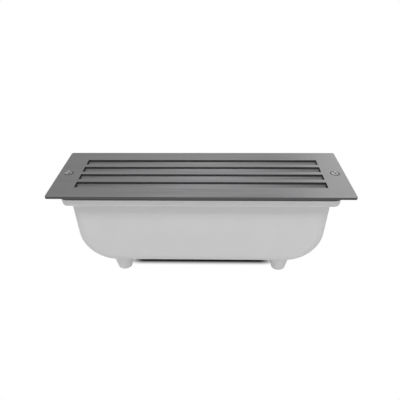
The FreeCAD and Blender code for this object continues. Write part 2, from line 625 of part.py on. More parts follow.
def make_lampholder():
    """Screw-cap holder: moulded shell with terminal flats, threaded sleeve, centre contact, hollow nipple."""
    back = rod("holder_back", "X", "holder_back_radius", HOLDER_BACK, HOLDER_STEP, LAMP_LINE)
    flats = [block(f"holder_flat_{i}", (HOLDER_BACK, HOLDER_STEP), ys,
                   (f"{AXIS} - holder_radius", f"{AXIS} + holder_radius"))
             for i, ys in enumerate((("holder_flat", "holder_radius"), ("-holder_radius", "-holder_flat")))]
    front = rod("holder_front_part", "X", "holder_radius", HOLDER_STEP, HOLDER_FRONT, LAMP_LINE)
    inside = "cap_radius + lamp_gap"
    outside = f"{inside} + sleeve_thick"
    bore = rod("holder_bore", "X", outside, CONTACT_FACE, HOLDER_FRONT, LAMP_LINE)
    blank = fused("holder_blank", [cut("holder_back_flats", back, *flats), front])
    shell = cut("lampholder_shell", blank, bore)
    ends = (f"{CONTACT_FACE} + tip_length", f"{HOLDER_FRONT} - sleeve_thick")
    sleeve = cut("lampholder_sleeve", rod("sleeve_outer", "X", outside, *ends, LAMP_LINE),
                 rod("sleeve_inner", "X", inside, *ends, LAMP_LINE))
    contact = block("lampholder_contact", (CONTACT_FACE, f"{CONTACT_FACE} + contact_thick"),
                    ("-cap_radius / 3", "cap_radius / 3"),
                    (f"{AXIS} - cap_radius / 2", f"{AXIS} + cap_radius / 2"))
    return shell, sleeve, contact


def make_nipple():
    """Nut and collar that clamp the holder's rear face to the bracket's upright."""
    start = f"{BRACKET_BACK} - nipple_nut_thick"
    collar = rod("nipple_collar", "X", "nipple_radius", start, HOLDER_BACK, LAMP_LINE)
    nut = doc.addObject("Part::Prism", "nipple_hex")
    nut.Polygon = 6
    nut.Placement = FreeCAD.Placement(Vector(), TURN["X"])
    bind(nut, Circumradius="nipple_nut", Height="nipple_nut_thick", Placement__Base__x=start,
         Placement__Base__z=AXIS)
    return fused("lampholder_nipple", [collar, nut])


def make_bracket():
    """Folded steel bracket: a forked foot on two posts and an upright behind the holder."""
    foot_end = f"(-{FOOT_X} + post_radius * 1.5)"
    fork_start = f"(-{FOOT_X} - post_radius * 3)"
    flat = (POST_TOP, f"{POST_TOP} + bracket_sheet")
    narrow = ("-bracket_back_width / 2", "bracket_back_width / 2")
    foot = block("bracket_foot", (fork_start, foot_end), ("-bracket_width / 2", "bracket_width / 2"), flat)
    neck = block("bracket_neck", (BRACKET_BACK, fork_start), narrow, flat)
    back = block("bracket_back", (BRACKET_BACK, HOLDER_BACK), narrow,
                 (POST_TOP, f"{AXIS} + bracket_back_rise"))
    throat = block("bracket_cutout", (HOLDER_STEP, foot_end), ("-bracket_throat / 2", "bracket_throat / 2"),
                   flat)
    hole = rod("nipple_hole", "X", "nipple_radius", BRACKET_BACK, HOLDER_BACK, LAMP_LINE)
    holes = [rod(f"bracket_hole_{i}", "Z", "fixing_hole", *flat, (f"-{FOOT_X}", y))
             for i, y in enumerate((f"-{POST_Y}", POST_Y))]
    return cut("lampholder_bracket", fused("bracket_blank", [foot, neck, back]), throat, hole, *holes)


def pan_screw(name, x, y, seat, length="fixing_length"):
    """Small pan-head screw with its head on a seat."""
    head = rod(name + "_head", "Z", "fixing_head", seat, f"{seat} + fixing_head_height", (x, y))
    shank = rod(name + "_shank", "Z", "fixing_radius", f"{seat} - {length}", seat, (x, y))
    return fused(name, [head, shank])


def bulb_form(name, wall_off, start, cap_end):
    """Neck, shoulder and round-ended tube of the lamp's glass, drawn in by a wall."""
    shoulder_end = f"({cap_end} + bulb_shoulder)"
    tip = f"({cap_end} + bulb_length - {wall_off})"
    neck = rod(name + "_neck", "X", f"neck_radius - {wall_off}", start, cap_end, LAMP_LINE)
    shoulder = rod(name + "_shoulder", "X", f"neck_radius - {wall_off}", cap_end, shoulder_end, LAMP_LINE,
                   f"bulb_radius - {wall_off}")
    barrel = rod(name + "_barrel", "X", f"bulb_radius - {wall_off}", shoulder_end, tip, LAMP_LINE)
    closed = eased("Part::Fillet", barrel, f"bulb_round - {wall_off}",
                   lambda point: point.x > size(tip) - 0.001)
    return fused(name, [neck, shoulder, closed])


def make_lamp():
    """Tubular lamp: opal glass, screw cap, insulator with its centre contact."""
    cap_start = f"({CONTACT_FACE} + contact_thick + tip_length)"
    cap_end = f"({cap_start} + cap_length)"
    neck_start = f"({cap_end} - cap_length / 6)"
    glass = cut("lamp_glass", bulb_form("glass_outside", MIDDLE, neck_start, cap_end),
                bulb_form("glass_inside", "bulb_wall", neck_start, cap_end))
    cap = cut("lamp_cap", rod("cap_outside", "X", "cap_radius", cap_start, cap_end, LAMP_LINE),
              rod("cap_hollow", "X", "cap_radius - cap_sheet", f"{cap_start} + cap_sheet", cap_end,
                  LAMP_LINE))
    insulator = rod("lamp_insulator", "X", "cap_radius * 0.35", f"{cap_start} - tip_length", cap_start,
                    LAMP_LINE, "cap_radius * 0.8")
    return glass, cap, insulator


# ---------------------------------------------------------------- reflector
def wedge(name, low, high, base_x, base_y, top_x, top_y):
    """Frustum between two levels, given the ends of its base and its mouth."""
    form = doc.addObject("Part::Wedge", name)
    form.Placement = FreeCAD.Placement(Vector(), FreeCAD.Rotation(Vector(1, 0, 0), 90))
    return bind(form, Ymin=MIDDLE, Ymax=f"{high} - ({low})", Placement__Base__z=low,
                Xmin=base_x[0], Xmax=base_x[1], X2min=top_x[0], X2max=top_x[1],
                Zmin=f"-({base_y})", Zmax=base_y, Z2min=f"-({top_y})", Z2max=top_y)


def make_reflector():
    """Pressed aluminium trough round the lamp, open at the lampholder's end."""
    low = REFLECTOR_FOOT
    high = REFLECTOR_MOUTH
    outer = wedge("trough_outer", low, high,
                  (f"{REFLECTOR_START} + reflector_flare", f"{REFLECTOR_END} - reflector_flare"),
                  "reflector_base / 2", (REFLECTOR_START, REFLECTOR_END), "reflector_mouth / 2")
    inner = wedge("trough_inner", f"({low} + reflector_sheet)", high,
                  (f"{REFLECTOR_START} + reflector_flare + reflector_sheet",
                   f"{REFLECTOR_END} - reflector_flare - reflector_sheet"),
                  "reflector_base / 2 - reflector_sheet",
                  (f"{REFLECTOR_START} + reflector_sheet", f"{REFLECTOR_END} - reflector_sheet"),
                  "reflector_mouth / 2 - reflector_sheet")
    rim = block("trough_rim", (f"{REFLECTOR_START} - reflector_rim", f"{REFLECTOR_END} + reflector_rim"),
                ("-reflector_mouth / 2 - reflector_rim", "reflector_mouth / 2 + reflector_rim"),
                (f"{high} - reflector_sheet", high))
    notch = rod("trough_notch", "X", "holder_radius + lamp_gap", f"{REFLECTOR_START} - reflector_rim",
                f"{REFLECTOR_START} + reflector_flare + 2 * reflector_sheet", LAMP_LINE)
    holes = [rod(f"reflector_hole_{i}", "Z", "fixing_hole", low, f"{low} + reflector_sheet", (x, MIDDLE))
             for i, x in enumerate(REFLECTOR_SCREWS)]
    return cut("reflector", fused("trough_blank", [outer, rim]), inner, notch, *holes)


# ---------------------------------------------------------------- terminals and wiring
POLES = [f"{step} * pole_pitch" for step in (-1, 0, 1)]


def make_gear_tray():
    """Steel plate on two posts, with holes for its screws and a notch over the cable entry."""
    plate = block("tray_plate", (TRAY_START, TRAY_END), ("-tray_width / 2", "tray_width / 2"),
                  (POST_TOP, TRAY_TOP))
    places = [(FOOT_X, f"-{POST_Y}"), (FOOT_X, POST_Y), (EARTH_X, MIDDLE), (BLOCK_MIDDLE, "pole_pitch / 2")]
    holes = [rod(f"tray_hole_{i}", "Z", "fixing_hole", POST_TOP, TRAY_TOP, place)
             for i, place in enumerate(places)]
    notch = rod("tray_notch", "Z", "grommet_radius", POST_TOP, TRAY_TOP, (ENTRY_X, MIDDLE))
    return cut("gear_tray", plate, notch, *holes)


def make_terminal_block():
    """Moulded three-pole block: a base, three tubes and a chimney over each terminal screw."""
    base = block("block_slab", (BLOCK_START, BLOCK_END),
                 (f"{POLES[0]} - pole_radius", f"{POLES[2]} + pole_radius"),
                 (TRAY_TOP, f"{TRAY_TOP} + block_base"))
    tubes = [rod(f"pole_{i}", "X", "pole_radius", BLOCK_START, BLOCK_END, (y, LEAD_LEVEL))
             for i, y in enumerate(POLES)]
    clamps = [(f"{BLOCK_START} + block_length * {share}", y) for y in POLES for share in (0.25, 0.75)]
    chimneys = [block(f"chimney_{i}", (f"{x} - chimney_width / 2", f"{x} + chimney_width / 2"),
                      (f"{y} - chimney_width / 2", f"{y} + chimney_width / 2"),
                      (f"{TRAY_TOP} + block_base / 2", BLOCK_TOP)) for i, (x, y) in enumerate(clamps)]
    bores = [rod(f"pole_bore_{i}", "X", "barrel_radius", BLOCK_START, BLOCK_END, (y, LEAD_LEVEL))
             for i, y in enumerate(POLES)]
    shafts = [rod(f"clamp_shaft_{i}", "Z", "clamp_radius", LEAD_LEVEL, BLOCK_TOP, place)
              for i, place in enumerate(clamps)]
    hole = rod("block_hole", "Z", "fixing_hole", TRAY_TOP, BLOCK_TOP, (BLOCK_MIDDLE, "pole_pitch / 2"))
    sink = rod("block_sink", "Z", "fixing_head + seat_gap", f"{TRAY_TOP} + block_base / 3", BLOCK_TOP,
               (BLOCK_MIDDLE, "pole_pitch / 2"))
    blank = fused("block_blank", [base, *tubes, *chimneys])
    block_body = cut("terminal_block", blank, *bores, *shafts, hole, sink)

    sunk = f"({BLOCK_TOP} - clamp_sink)"
    ends = (f"{BLOCK_START} + seat_gap", f"{BLOCK_END} - seat_gap")
    barrels = group("terminal_barrels", [
        cut(f"barrel_{i}", rod(f"barrel_outer_{i}", "X", "barrel_radius", *ends, (y, LEAD_LEVEL)),
            rod(f"barrel_inner_{i}", "X", "barrel_bore", *ends, (y, LEAD_LEVEL)))
        for i, y in enumerate(POLES)])
    screws = group("terminal_screws", [
        rod(f"clamp_screw_{i}", "Z", "clamp_radius", f"{LEAD_LEVEL} + barrel_radius + seat_gap", sunk, place)
        for i, place in enumerate(clamps)])
    return block_body, barrels, screws


def make_block_screw():
    """Screw through the terminal block into the tray."""
    return pan_screw("block_screw", BLOCK_MIDDLE, "pole_pitch / 2", f"({TRAY_TOP} + block_base / 3)")


def tube(name, points, radius, bend):
    """Round lead along straight runs joined by tangent arcs."""
    edges = []
    begin = points[0]
    for before, corner, after in zip(points, points[1:], points[2:]):
        inward = (before - corner).normalize()
        outward = (after - corner).normalize()
        half = inward.getAngle(outward) / 2
        reach = bend / math.tan(half)
        first = corner + inward * reach
        last = corner + outward * reach
        centre = corner + (inward + outward).normalize() * (bend / math.sin(half))
        middle = centre + (corner - centre).normalize() * bend
        edges.append(Part.LineSegment(begin, first).toShape())
        edges.append(Part.Arc(first, middle, last).toShape())
        begin = last
    edges.append(Part.LineSegment(begin, points[-1]).toShape())
    path = Part.Wire(edges)
    direction = (points[1] - points[0]).normalize()
    section = Part.Face(Part.Wire([Part.Circle(points[0], direction, radius).toShape()]))
    lead = doc.addObject("Part::Feature", name)
    lead.Shape = path.makePipe(section)
    return lead


def make_leads():
    """Live and neutral leads from the terminals along the walls to the holder, and a short earth lead."""
    start = size(f"{BLOCK_END} - 3 * seat_gap - barrel_bore")
    level = size(LEAD_LEVEL)
    turn = size(f"{TUB_END} - lead_turn_inset")
    side = size(LEAD_SIDE)
    pole = size("pole_pitch")
    end = size(f"lead_end_inset - {TUB_END}")
    flat = size("holder_flat")
    radius = size("lead_radius")
    bend = size("lead_bend")
    leads = []
    for name, sign in (("neutral_lead", -1), ("live_lead", 1)):
        route = [(start, pole), (turn, pole), (turn, side), (end, side), (end, flat)]
        leads.append(tube(name, [Vector(x, sign * y, level) for x, y in route], radius, bend))
    tag = size(TRAY_TOP) + 2 * radius
    drop = size(f"{EARTH_X} - fixing_head")
    route = [Vector(start, 0, level), Vector(drop, 0, level), Vector(drop, 0, tag)]
    leads.append(tube("earth_lead", route, radius, min(bend, (level - tag) / 2)))
    return leads


def make_grommet():
    """Rubber grommet in the back: a neck through the wall between two flanges."""
    centre = (ENTRY_X, MIDDLE)
    low = "(foot_height - grommet_flange_thick)"
    high = f"({FLOOR} + grommet_flange_thick)"
    neck = rod("grommet_neck", "Z", "grommet_radius", low, high, centre)
    outside = rod("grommet_outside", "Z", "grommet_flange", low, "foot_height", centre)
    inside = rod("grommet_inside", "Z", "grommet_flange", FLOOR, high, centre)
    bore = rod("grommet_bore", "Z", "entry_radius", low, high, centre)
    return cut("cable_grommet", fused("grommet_blank", [neck, outside, inside]), bore)


# ---------------------------------------------------------------- the light, put together
glass, cap, insulator = make_lamp()
shell, sleeve, contact = make_lampholder()
terminals, barrels, clamps = make_terminal_block()
neutral, live, earth = make_leads()
bracket_seat = f"({POST_TOP} + bracket_sheet)"
reflector_seat = f"({REFLECTOR_FOOT} + reflector_sheet)"

NODES = {
    "housing": make_housing(),
    "screw_inserts": make_screw_inserts(),
    "rim_gasket": make_gasket(),
    "faceplate": make_faceplate(),
    "louvre_frame": make_louvre_frame(),
    "diffuser_seal": make_diffuser_seal(),
    "diffuser_glass": make_diffuser_glass(),
    "faceplate_screw_left": make_faceplate_screw("left", "-"),
    "faceplate_screw_right": make_faceplate_screw("right", "+"),
    "screw_retainers": make_screw_retainers(),
    "lampholder_shell": shell,
    "lampholder_sleeve": sleeve,
    "lampholder_contact": contact,
    "lampholder_nipple": make_nipple(),
    "lampholder_bracket": make_bracket(),
    "bracket_screws": group("bracket_screws", [
        pan_screw(f"bracket_screw_{i}", f"-{FOOT_X}", y, bracket_seat)
        for i, y in enumerate((f"-{POST_Y}", POST_Y))]),
    "lamp_glass": glass,
    "lamp_cap": cap,
    "lamp_tip": insulator,
    "reflector": make_reflector(),
    "reflector_screws": group("reflector_screws", [
        pan_screw(f"reflector_screw_{i}", x, MIDDLE, reflector_seat, "(reflector_post + reflector_sheet)")
        for i, x in enumerate(REFLECTOR_SCREWS)]),
    "gear_tray": make_gear_tray(),
    "tray_screws": group("tray_screws", [
        pan_screw(f"tray_screw_{i}", FOOT_X, y, TRAY_TOP) for i, y in enumerate((f"-{POST_Y}", POST_Y))]),
    "terminal_block": terminals,
    "terminal_barrels": barrels,
    "terminal_screws": clamps,
    "block_screw": make_block_screw(),
    "earth_screw": pan_screw("earth_screw", EARTH_X, MIDDLE, TRAY_TOP, "earth_length"),
    "neutral_lead": neutral,
    "live_lead": live,
    "earth_lead": earth,
    "cable_grommet": make_grommet(),
}
for index in range(int(size("slot_count"))):
    NODES[f"louvre_blade_{index + 1}"] = make_blade(index)

doc.recompute()
for thing in doc.Objects:
    if {"Invalid", "Error"} & set(thing.State):
        raise RuntimeError(f"{thing.Name} failed: {thing.State}")

os.makedirs("parts", exist_ok=True)
for node, thing in NODES.items():
    thing.Label = node
    shape = thing.Shape
    if shape.isNull() or not shape.isValid() or not shape.Solids:
        raise RuntimeError(f"{node} has no valid solid")
    shape.exportStep(f"parts/{node}.step")
    print(f"{node:24s} {len(shape.Solids):2d} solids {shape.Volume:10.1f} mm3  {shape.BoundBox}")
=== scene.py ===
from math import pi, radians, tau

import bpy
from mathutils import Matrix, Vector


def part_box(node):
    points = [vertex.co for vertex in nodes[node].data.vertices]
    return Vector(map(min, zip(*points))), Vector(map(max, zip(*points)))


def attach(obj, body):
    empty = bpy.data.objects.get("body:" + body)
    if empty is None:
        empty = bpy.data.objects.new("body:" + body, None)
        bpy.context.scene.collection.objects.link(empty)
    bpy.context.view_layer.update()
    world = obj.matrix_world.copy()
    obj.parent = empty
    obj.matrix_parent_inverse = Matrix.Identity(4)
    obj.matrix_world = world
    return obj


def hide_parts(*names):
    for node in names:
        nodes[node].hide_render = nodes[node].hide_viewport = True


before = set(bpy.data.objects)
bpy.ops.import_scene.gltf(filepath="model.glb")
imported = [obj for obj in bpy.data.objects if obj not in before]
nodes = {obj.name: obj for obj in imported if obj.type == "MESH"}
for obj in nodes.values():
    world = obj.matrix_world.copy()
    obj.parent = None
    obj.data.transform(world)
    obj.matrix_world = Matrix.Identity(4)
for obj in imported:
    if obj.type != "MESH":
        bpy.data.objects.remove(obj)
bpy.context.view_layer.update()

MM = 0.001


# ------------------------------------------------------------------ camera
# The viewpoint of a product photographer standing in front of the light's lower long
# side, with the light lying on its back. A normal lens at about 0.4 m, looking 31 degrees
# down.
STAND = Vector((9.0, -328.9, 257.2)) * MM
TURN, DOWN, ROLL = radians(1.75), radians(30.99), radians(-0.7)

camera_data = bpy.data.cameras.new("camera")
camera_data.sensor_width = 36
camera_data.lens = 39.6
camera_data.clip_start = 0.01
camera = bpy.data.objects.new("camera", camera_data)
camera.matrix_world = (Matrix.Translation(STAND) @ Matrix.Rotation(TURN, 4, "Z")
                       @ Matrix.Rotation(pi / 2 - DOWN, 4, "X") @ Matrix.Rotation(ROLL, 4, "Z"))
bpy.context.scene.collection.objects.link(camera)
bpy.context.scene.camera = camera
bpy.context.scene.view_settings.view_transform = "Standard"


# ------------------------------------------------------------------ studio
# A white table in a white room. One small lamp high in front makes the plate's rim shade
# the lip, and a big one behind at the right lightens that end of the steel. The shadow
# that shows under the back is drawn in the table's material as a soft-edged dark patch of
# a set size: around it the table shows plain white, without the shadow that the lamps cast.
def linear(code):
    """Linear colour of an sRGB hex value."""
    parts = [int(code[i:i + 2], 16) / 255 for i in (0, 2, 4)]
    return tuple(p / 12.92 if p <= 0.04045 else ((p + 0.055) / 1.055) ** 2.4 for p in parts) + (1.0,)


def add(tree, kind, inputs=(), **settings):
    """A node with its properties set, its inputs given numbers, sockets or nodes' first outputs."""
    node = tree.nodes.new(kind)
    for name, setting in settings.items():
        setattr(node, name, setting)
    for socket, source in dict(inputs).items():
        if isinstance(source, bpy.types.Node):
            source = source.outputs[0]
        if isinstance(source, bpy.types.NodeSocket):
            tree.links.new(source, node.inputs[socket])
        else:
            node.inputs[socket].default_value = source
    return node


def material(name):
    """A new material with an empty tree."""
    made = bpy.data.materials.new(name)
    made.use_nodes = True
    made.node_tree.nodes.clear()
    return made, made.node_tree


def background_rays(tree):
    """One for rays that show the background: straight to the camera, mirrored or through glass."""
    paths = add(tree, "ShaderNodeLightPath").outputs
    either = add(tree, "ShaderNodeMath", {0: paths["Is Camera Ray"], 1: paths["Is Glossy Ray"]},
                 operation="MAXIMUM")
    return add(tree, "ShaderNodeMath", {0: either, 1: paths["Is Transmission Ray"]}, operation="MAXIMUM")


# Half the length and width of the dark patch, and how far it takes to clear outside that.
SHADOW_CORE = Vector((53, 9.5, 0)) * MM
SHADOW_EDGE = Vector((21, 7, 1)) * MM
TABLE_HALF = 3.0

table_paint, tree = material("matt_white_table")
place = add(tree, "ShaderNodeTexCoord").outputs["Object"]
beside = add(tree, "ShaderNodeVectorMath", {0: place}, operation="ABSOLUTE")
outside = add(tree, "ShaderNodeVectorMath", {0: beside, 1: SHADOW_CORE}, operation="SUBTRACT")
outside = add(tree, "ShaderNodeVectorMath", {0: outside, 1: (0, 0, 0)}, operation="MAXIMUM")
share = add(tree, "ShaderNodeVectorMath", {0: outside, 1: SHADOW_EDGE}, operation="DIVIDE")
away = add(tree, "ShaderNodeVectorMath", {0: share}, operation="LENGTH").outputs["Value"]
opened = add(tree, "ShaderNodeMapRange", {"Value": away}, interpolation_type="SMOOTHSTEP")
paper = add(tree, "ShaderNodeBsdfDiffuse", {"Color": linear("fafafa")})
shaded = add(tree, "ShaderNodeBsdfDiffuse", {"Color": linear("2c2c2c")})
glow = add(tree, "ShaderNodeEmission", {"Color": linear("ffffff")})
seen = add(tree, "ShaderNodeMixShader", {0: opened, 1: shaded, 2: glow})
surface = add(tree, "ShaderNodeMixShader", {0: background_rays(tree), 1: paper, 2: seen})
add(tree, "ShaderNodeOutputMaterial", {"Surface": surface})

table_corners = [(x * TABLE_HALF, y * TABLE_HALF, 0) for x, y in ((-1, -1), (1, -1), (1, 1), (-1, 1))]
table_mesh = bpy.data.meshes.new("table")
table_mesh.from_pydata(table_corners, [], [(0, 1, 2, 3)])
table_mesh.materials.append(table_paint)
table = bpy.data.objects.new("table", table_mesh)
bpy.context.scene.collection.objects.link(table)

# The room lights the object at about half strength and shows itself white.
ROOM_LIGHT, ROOM_SHOWN = 0.53, 1.0
room = bpy.data.worlds.new("white_room")
bpy.context.scene.world = room
room.use_nodes = True
tree = room.node_tree
tree.nodes.clear()
strength = add(tree, "ShaderNodeMapRange",
               {"Value": background_rays(tree), "To Min": ROOM_LIGHT, "To Max": ROOM_SHOWN})
walls = add(tree, "ShaderNodeBackground", {"Strength": strength, "Color": linear("ffffff")})
add(tree, "ShaderNodeOutputWorld", {"Surface": walls})


def softbox(name, place, aim, size, power):
    """A square studio lamp at a place, turned towards a point, in metres and watts."""
    lamp = bpy.data.lights.new(name, "AREA")
    lamp.shape = "SQUARE"
    lamp.size = size
    lamp.energy = power
    holder = bpy.data.objects.new(name, lamp)
    holder.location = place
    holder.rotation_euler = (Vector(aim) - Vector(place)).to_track_quat("-Z", "Y").to_euler()
    bpy.context.scene.collection.objects.link(holder)


softbox("key_softbox", place=(0, -0.56, 1.3), aim=(0, 0, 0.04), size=0.22, power=10.5)
softbox("front_softbox", place=(0, -1.4, 0.35), aim=(0, 0, 0.03), size=0.9, power=2)
softbox("right_softbox", place=(0.78, 1.1, 0.6), aim=(0.1, 0, 0.08), size=0.9, power=5.8)


# ------------------------------------------------------------------ faceplate
# Stainless steel sheet, punched with four louvre slots and brushed along its length.
# The belt leaves hair lines that draw every reflection out across the plate, so it looks
# an even soft grey. Real hair lines are 0.1 mm apart, drawn at 0.6 mm so that they show.
def brushed_steel(name, colour, rough, steep_tone_and_shade, hair=0.6):
    """Sheet brushed along X, its lines that many millimetres apart, darker on its steep faces: partly the
    duller tone of punched cut edges, partly painted shade.
    """
    # A Mix node's colours go in at its sockets 6 and 7, and the result comes out third.
    made, tree = material(name)
    place = add(tree, "ShaderNodeTexCoord").outputs["Object"]
    drawn = add(tree, "ShaderNodeMapping", {"Vector": place, "Scale": (0.012, 1, 1)})
    lines = add(tree, "ShaderNodeTexNoise", {"Vector": drawn, "Scale": 1 / (hair * MM), "Detail": 2.0})
    bands = add(tree, "ShaderNodeTexNoise", {"Vector": drawn, "Scale": 1 / (4 * hair * MM), "Detail": 3.0})
    height = lines.outputs["Fac"]
    tone = add(tree, "ShaderNodeMath", {0: height, 1: bands.outputs["Fac"]}, operation="ADD")
    span = {"Value": tone, "From Min": 0.7, "From Max": 1.3}
    shade = add(tree, "ShaderNodeMapRange", {**span, "To Min": 0.91, "To Max": 1.08})
    dull = add(tree, "ShaderNodeMapRange", {**span, "To Min": rough - 0.05, "To Max": rough + 0.06})
    # Painted shade: faces that stand more sideways than up or down take the darker colour, which on punched
    # sheet is also the cut edge's own duller tone.
    facing = add(tree, "ShaderNodeNewGeometry").outputs["Normal"]
    upward = add(tree, "ShaderNodeSeparateXYZ", {"Vector": facing}).outputs["Z"]
    level = add(tree, "ShaderNodeMath", {0: upward}, operation="ABSOLUTE")
    steep_faces = add(tree, "ShaderNodeMath", {0: level, 1: 0.5}, operation="LESS_THAN")
    base = add(tree, "ShaderNodeMix", {0: steep_faces, 6: linear(colour), 7: linear(steep_tone_and_shade)}, data_type="RGBA")
    toned = add(tree, "ShaderNodeVectorMath", {0: base.outputs[2], 1: shade}, operation="MULTIPLY")
    grooves = add(tree, "ShaderNodeBump", {"Height": height, "Strength": 0.25, "Distance": 0.04 * MM})
    across = add(tree, "ShaderNodeCombineXYZ", {"Y": 1.0})
    steel = add(tree, "ShaderNodeBsdfPrincipled",
                {"Base Color": toned, "Roughness": dull, "Normal": grooves, "Tangent": across,
                 "Metallic": 1.0, "Anisotropic": 0.8})
    add(tree, "ShaderNodeOutputMaterial", {"Surface": steel})
    return made


def dress(finish, *names):
    """Gives carried-over solids their finish."""
    for name in names:
        mesh = nodes[name].data
        mesh.materials.clear()
        mesh.materials.append(finish)


dress(brushed_steel("brushed_stainless_plate", "747475", 0.42, "565657"), "faceplate")


# ------------------------------------------------------------------ louvre blades
# Four bent strips of the same steel, which throw the lamp's light down. A folded frame
# carries their ends. It is left as it came from the mill, paler and with broader lines.
dress(brushed_steel("brushed_stainless_blade", "747475", 0.45, "565657"),
      *[f"louvre_blade_{number}" for number in (1, 2, 3, 4)])
dress(brushed_steel("mill_finish_steel", "8b8b8c", 0.42, "6a6a6b", hair=2), "louvre_frame")


# ------------------------------------------------------------------ moulded tub
# Injection-moulded polypropylene in pale grey. The mould's spark-eroded skin is 0.1 mm
# grain, drawn at 0.5 mm so that it shows, and gives a soft half-matt look.
NOISE_SPAN = {"From Min": 0.3, "From Max": 0.7}


def moulded(name, colour, rough, grain=0.5, depth=0.03, cloud=0.012):
    """Plastic or rubber with a moulded skin, its grain and depth in millimetres, faintly clouded."""
    made, tree = material(name)
    place = add(tree, "ShaderNodeTexCoord").outputs["Object"]
    fine = add(tree, "ShaderNodeTexNoise", {"Vector": place, "Scale": 1 / (grain * MM), "Detail": 2.0})
    broad = add(tree, "ShaderNodeTexNoise", {"Vector": place, "Scale": 1 / (30 * MM), "Detail": 2.0})
    shade = add(tree, "ShaderNodeMapRange",
                {"Value": broad.outputs["Fac"], **NOISE_SPAN, "To Min": 1 - cloud, "To Max": 1 + cloud})
    toned = add(tree, "ShaderNodeVectorMath", {0: linear(colour)[:3], 1: shade}, operation="MULTIPLY")
    skin = add(tree, "ShaderNodeBump",
               {"Height": fine.outputs["Fac"], "Strength": 0.2, "Distance": depth * MM})
    plastic = add(tree, "ShaderNodeBsdfPrincipled",
                  {"Base Color": toned, "Normal": skin, "Roughness": rough, "IOR": 1.49})
    add(tree, "ShaderNodeOutputMaterial", {"Surface": plastic})
    return made


dress(moulded("moulded_grey_polypropylene", "bebebe", 0.55), "housing")


# ------------------------------------------------------------------ rim gasket
# Closed-cell rubber foam, die-cut and stuck to the lip. Its cut cells are 0.8 mm across
# and swallow the light.
dress(moulded("closed_cell_foam_rubber", "4a4a4b", 0.9, grain=0.8, depth=0.15, cloud=0.05), "rim_gasket")


# ------------------------------------------------------------------ screws
# Cross-recessed and slotted machine screws, headed and thread-rolled from steel wire. The
# plate's two are stainless, with countersunk heads. The ones inside are zinc-plated pan
# heads, and the plating gives them a cloudy blue-grey gloss.
def metal(name, colour, rough, cloud, spread=0.04):
    """Plain worked metal whose gloss and tone drift over clouds of a size in millimetres."""
    made, tree = material(name)
    place = add(tree, "ShaderNodeTexCoord").outputs["Object"]
    drift = add(tree, "ShaderNodeTexNoise", {"Vector": place, "Scale": 1 / (cloud * MM), "Detail": 3.0})
    fine = add(tree, "ShaderNodeTexNoise", {"Vector": place, "Scale": 1 / (0.4 * MM), "Detail": 2.0})
    span = {"Value": drift.outputs["Fac"], **NOISE_SPAN}
    shade = add(tree, "ShaderNodeMapRange", {**span, "To Min": 1 - spread, "To Max": 1 + spread})
    dull = add(tree, "ShaderNodeMapRange", {**span, "To Min": rough + spread, "To Max": rough - spread})
    toned = add(tree, "ShaderNodeVectorMath", {0: linear(colour)[:3], 1: shade}, operation="MULTIPLY")
    skin = add(tree, "ShaderNodeBump",
               {"Height": fine.outputs["Fac"], "Strength": 0.15, "Distance": 0.02 * MM})
    worked = add(tree, "ShaderNodeBsdfPrincipled",
                 {"Base Color": toned, "Roughness": dull, "Normal": skin, "Metallic": 1.0})
    add(tree, "ShaderNodeOutputMaterial", {"Surface": worked})
    return made


def geometry_tree(name, inputs):
    """A geometry tree with those named inputs, its input sockets and its end node."""
    tree = bpy.data.node_groups.new(name, "GeometryNodeTree")
    tree.interface.new_socket("Geometry", in_out="OUTPUT", socket_type="NodeSocketGeometry")
    for label, kind in inputs.items():
        tree.interface.new_socket(label, in_out="INPUT", socket_type="NodeSocket" + kind)
    return tree, add(tree, "NodeGroupInput").outputs, add(tree, "NodeGroupOutput")


def grown(name, tree, sizes, places):
    """An object whose plain mesh a geometry tree grows from its sizes, at places in metres."""
    mesh = bpy.data.meshes.new(name)
    mesh.from_pydata(places, [], [])
    piece = bpy.data.objects.new(name, mesh)
    bpy.context.scene.collection.objects.link(piece)
    modifier = piece.modifiers.new(tree.name, "NODES")
    modifier.node_group = tree
    sockets = {item.name: item.identifier for item in tree.interface.items_tree if item.in_out == "INPUT"}
    for label, value in sizes.items():
        modifier[sockets[label]] = value
    piece.data.update()
    evaluated = piece.evaluated_get(bpy.context.evaluated_depsgraph_get())
    solid = bpy.data.meshes.new_from_object(evaluated)
    piece.modifiers.clear()
    piece.data = solid
    return piece


def stands_for(piece, node, body):
    """Puts a grown piece in a node's stead, on the same body, and hides the node."""
    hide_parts(node)
    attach(piece, body)


def turned_surface(tree, columns, rows, section):
    """A closed turned skin: a grid rolled round Z, whose section gives radius and level by row and turn."""
    grid = add(tree, "GeometryNodeMeshGrid",
               {"Size X": tau, "Size Y": 1.0, "Vertices X": columns, "Vertices Y": rows})
    flat = add(tree, "ShaderNodeSeparateXYZ", {0: add(tree, "GeometryNodeInputPosition")}).outputs
    turn = flat["X"]
    row = add(tree, "ShaderNodeMath", {0: flat["Y"], 1: 0.5}, operation="ADD")
    radius, level = section(row, turn)
    cosine = add(tree, "ShaderNodeMath", {0: turn}, operation="COSINE")
    sine = add(tree, "ShaderNodeMath", {0: turn}, operation="SINE")
    x = add(tree, "ShaderNodeMath", {0: radius, 1: cosine}, operation="MULTIPLY")
    y = add(tree, "ShaderNodeMath", {0: radius, 1: sine}, operation="MULTIPLY")
    rolled = add(tree, "ShaderNodeCombineXYZ", {"X": x, "Y": y, "Z": level})
    moved = add(tree, "GeometryNodeSetPosition", {0: grid, "Position": rolled})
    return add(tree, "GeometryNodeMergeByDistance", {0: moved, "Distance": 0.001 * MM})


# Rows run from 0 to 1, so only the first and last lie further than this from the middle.
END_ROWS = 0.4999


